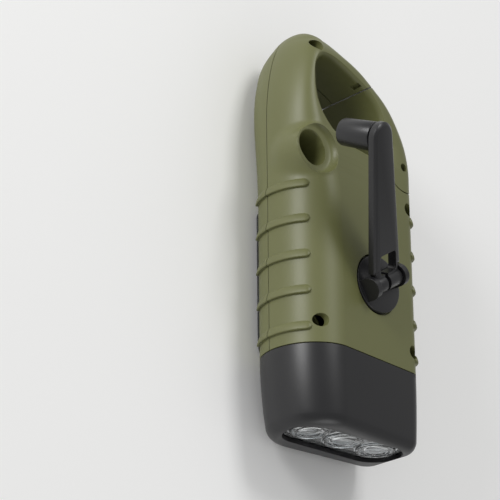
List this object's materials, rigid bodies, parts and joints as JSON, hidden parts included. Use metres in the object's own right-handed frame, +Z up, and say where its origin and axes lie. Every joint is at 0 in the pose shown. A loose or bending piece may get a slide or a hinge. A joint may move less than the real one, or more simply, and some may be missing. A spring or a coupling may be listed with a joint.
{
  "type": "hand crank flashlight",
  "caption": "Pocket flashlight with a folding hand crank, a solar cell on the back, a sprung carabiner gate at one end and a black lamp head at the other.",
  "frame": {"origin": "middle of the bounding box on the ground under the solar frame, on which the flashlight lies", "axes": "+Z up out of the crank face, +Y along the body towards the carabiner hook, +X towards the side with the carabiner gate"},
  "size_m": [0.0556, 0.1359, 0.0589],
  "materials": {
    "shell": "satin olive ABS",
    "black": "satin black ABS",
    "rubber": "matt silicone",
    "steel": "zinc plated",
    "chrome": "vacuum metallised",
    "clear": "clear polycarbonate",
    "cell": "resin coated silicon",
    "copper": "enamelled wire",
    "gear": "acetal",
    "board": "solder mask",
    "magnet": "ferrite"
  },
  "bodies": {
    "case": {"crank_side_shell": "shell", "solar_side_shell": "shell", "gate_pin": "steel", "gate_spring": "steel", "head_bezel": "black", "front_window": "clear", "window_gasket": "rubber", "reflector": "chrome", "led_1": "clear", "led_2": "clear", "led_3": "clear", "led_board": "board", "solar_frame": "black", "solar_cell": "cell", "push_switch": "black", "main_board": "board", "buffer_capacitor": "magnet", "button_cell_1": "steel", "button_cell_2": "steel", "button_cell_3": "steel", "case_screw_1": "steel", "case_screw_2": "steel", "case_screw_3": "steel", "case_screw_4": "steel", "gear_plate": "black", "plate_screw_1": "steel", "plate_screw_2": "steel", "plate_screw_3": "steel", "idler_axle_1": "steel", "idler_axle_2": "steel", "generator_coil": "copper", "stator_cup": "steel"},
    "gate": {"gate": "shell"},
    "crank_hub": {"crank_hub": "black", "hub_screw": "steel", "crank_gear": "gear"},
    "crank_arm": {"crank_arm": "black", "hinge_pin": "steel", "knob_screw": "steel"},
    "crank_knob": {"crank_knob": "black"},
    "idler_gear_1": {"idler_gear_1": "gear"},
    "idler_gear_2": {"idler_gear_2": "gear"},
    "rotor": {"rotor_shaft": "gear", "ring_magnet": "magnet"},
    "switch_button": {"push_button": "rubber", "switch_plunger": "gear"}
  },
  "joints": [
    {"name": "crank_spin", "type": "hinge", "parent": "case", "child": "crank_hub", "pos_m": [0.0045, -0.018, 0.03], "axis": [0, 0, 1], "continuous": true},
    {"name": "crank_fold", "type": "hinge", "parent": "crank_hub", "child": "crank_arm", "pos_m": [0.0045, -0.018, 0.03447], "axis": [0.8425, 0.5388, 0], "range_deg": [-27, 153]},
    {"name": "knob_spin", "type": "hinge", "parent": "crank_arm", "child": "crank_knob", "pos_m": [-0.01797, 0.01713, 0.05571], "axis": [0.2446, -0.3825, 0.891], "continuous": true},
    {"name": "gate_swing", "type": "hinge", "parent": "case", "child": "gate", "pos_m": [0.021, 0.028, 0.016], "axis": [0, 0, 1], "range_deg": [0, 28], "stiffness_Nm_per_rad": 0.02, "springref_deg": -28.65},
    {"name": "switch_press", "type": "slide", "parent": "case", "child": "switch_button", "axis": [-1, 0, 0], "range_m": [0, 0.0009], "stiffness_N_per_m": 800, "springref_m": -0.0004},
    {"name": "idler_1_spin", "type": "hinge", "parent": "case", "child": "idler_gear_1", "pos_m": [-0.0026, -0.00277, 0.022], "axis": [0, 0, 1], "continuous": true},
    {"name": "idler_2_spin", "type": "hinge", "parent": "case", "child": "idler_gear_2", "pos_m": [0.005, 0.01039, 0.018], "axis": [0, 0, 1], "continuous": true},
    {"name": "rotor_spin", "type": "hinge", "parent": "case", "child": "rotor", "pos_m": [0.01214, -0.00303, 0.012], "axis": [0, 0, 1], "continuous": true}
  ],
  "couplings": [
    {"joint": "idler_1_spin", "follows": "crank_spin", "ratio": -3.2},
    {"joint": "idler_2_spin", "follows": "crank_spin", "ratio": 8.96},
    {"joint": "rotor_spin", "follows": "crank_spin", "ratio": -25.088}
  ]
}
